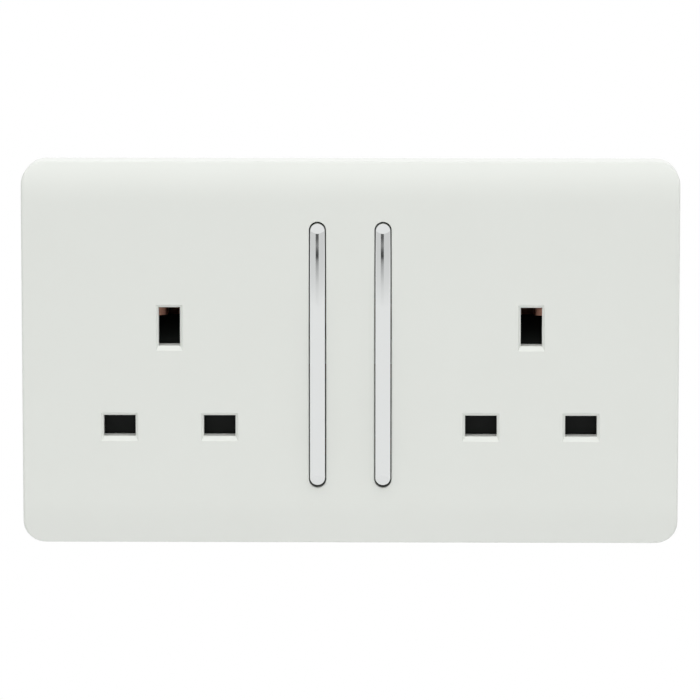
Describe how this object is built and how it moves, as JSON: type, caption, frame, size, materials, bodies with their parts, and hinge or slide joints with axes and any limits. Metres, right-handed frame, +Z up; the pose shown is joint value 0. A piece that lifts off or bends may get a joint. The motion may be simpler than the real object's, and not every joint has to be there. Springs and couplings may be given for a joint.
{
  "type": "switched wall socket",
  "caption": "Screwless switched wall socket plate with bevelled pin apertures, slim chrome rocker switches, sliding safety shutters and rear cable terminals.",
  "frame": {"origin": "centre of the plate in the wall plane, half way between the two fixing holes", "axes": "+X to the right for a user facing the socket, +Y back into the wall, +Z up"},
  "size_m": [0.1456, 0.0276, 0.0854],
  "materials": {
    "plate_white": "gloss white moulding",
    "frame_white": "satin white moulding",
    "housing_black": "satin black moulding",
    "rocker_chrome": "polished chrome plate",
    "shutter_black": "black moulding",
    "arm_nylon": "natural nylon",
    "contact_copper": "pressed copper alloy strip",
    "terminal_brass": "turned and milled brass",
    "tip_silver": "silver alloy contact rivet",
    "screw_steel": "zinc plated steel",
    "plunger_steel": "plain steel",
    "spring_steel": "spring wire"
  },
  "bodies": {
    "socket": {"front_plate": "plate_white", "mounting_frame": "frame_white", "rear_housing": "housing_black", "housing_screws": "screw_steel", "terminal_screws": "screw_steel", "neutral_bar": "contact_copper", "earth_bar": "contact_copper", "live_feed_bar": "contact_copper", "fixed_tips": "tip_silver", "live_terminal": "terminal_brass", "neutral_terminal": "terminal_brass", "earth_terminal_left": "terminal_brass", "earth_terminal_right": "terminal_brass", "shutter_spring_left": "spring_steel", "live_contact_left": "contact_copper", "shutter_spring_right": "spring_steel", "live_contact_right": "contact_copper"},
    "rocker_left": {"rocker_cap_left": "rocker_chrome", "rocker_arm_left": "arm_nylon", "plunger_spring_left": "spring_steel"},
    "plunger_left": {"plunger_left": "plunger_steel"},
    "see_saw_left": {"moving_contact_left": "contact_copper", "moving_tip_left": "tip_silver"},
    "shutter_left": {"shutter_left": "shutter_black"},
    "rocker_right": {"rocker_cap_right": "rocker_chrome", "rocker_arm_right": "arm_nylon", "plunger_spring_right": "spring_steel"},
    "plunger_right": {"plunger_right": "plunger_steel"},
    "see_saw_right": {"moving_contact_right": "contact_copper", "moving_tip_right": "tip_silver"},
    "shutter_right": {"shutter_right": "shutter_black"}
  },
  "joints": [
    {"name": "switch_left", "type": "hinge", "parent": "socket", "child": "rocker_left", "pos_m": [-0.00725, -0.0036, -0.0002], "axis": [1, 0, 0], "range_deg": [0, 3]},
    {"name": "see_saw_left", "type": "hinge", "parent": "socket", "child": "see_saw_left", "pos_m": [-0.00725, 0.0046, -0.0002], "axis": [1, 0, 0], "range_deg": [-21, 0]},
    {"name": "toggle_left", "type": "slide", "parent": "rocker_left", "child": "plunger_left", "axis": [0, -0.9997, 0.0262], "range_m": [0, 0.001], "stiffness_N_per_m": 800, "springref_m": -0.003, "deforming": ["plunger_spring_left"]},
    {"name": "shutter_left", "type": "slide", "parent": "socket", "child": "shutter_left", "axis": [0, 0, -1], "range_m": [0, 0.0056], "stiffness_N_per_m": 150, "springref_m": -0.004, "deforming": ["shutter_spring_left"]},
    {"name": "switch_right", "type": "hinge", "parent": "socket", "child": "rocker_right", "pos_m": [0.00725, -0.0036, -0.0002], "axis": [1, 0, 0], "range_deg": [0, 3]},
    {"name": "see_saw_right", "type": "hinge", "parent": "socket", "child": "see_saw_right", "pos_m": [0.00725, 0.0046, -0.0002], "axis": [1, 0, 0], "range_deg": [-21, 0]},
    {"name": "toggle_right", "type": "slide", "parent": "rocker_right", "child": "plunger_right", "axis": [0, -0.9997, 0.0262], "range_m": [0, 0.001], "stiffness_N_per_m": 800, "springref_m": -0.003, "deforming": ["plunger_spring_right"]},
    {"name": "shutter_right", "type": "slide", "parent": "socket", "child": "shutter_right", "axis": [0, 0, -1], "range_m": [0, 0.0056], "stiffness_N_per_m": 150, "springref_m": -0.004, "deforming": ["shutter_spring_right"]}
  ],
  "couplings": [
    {"joint": "see_saw_left", "follows": "switch_left", "ratio": -7},
    {"joint": "see_saw_right", "follows": "switch_right", "ratio": -7}
  ]
}
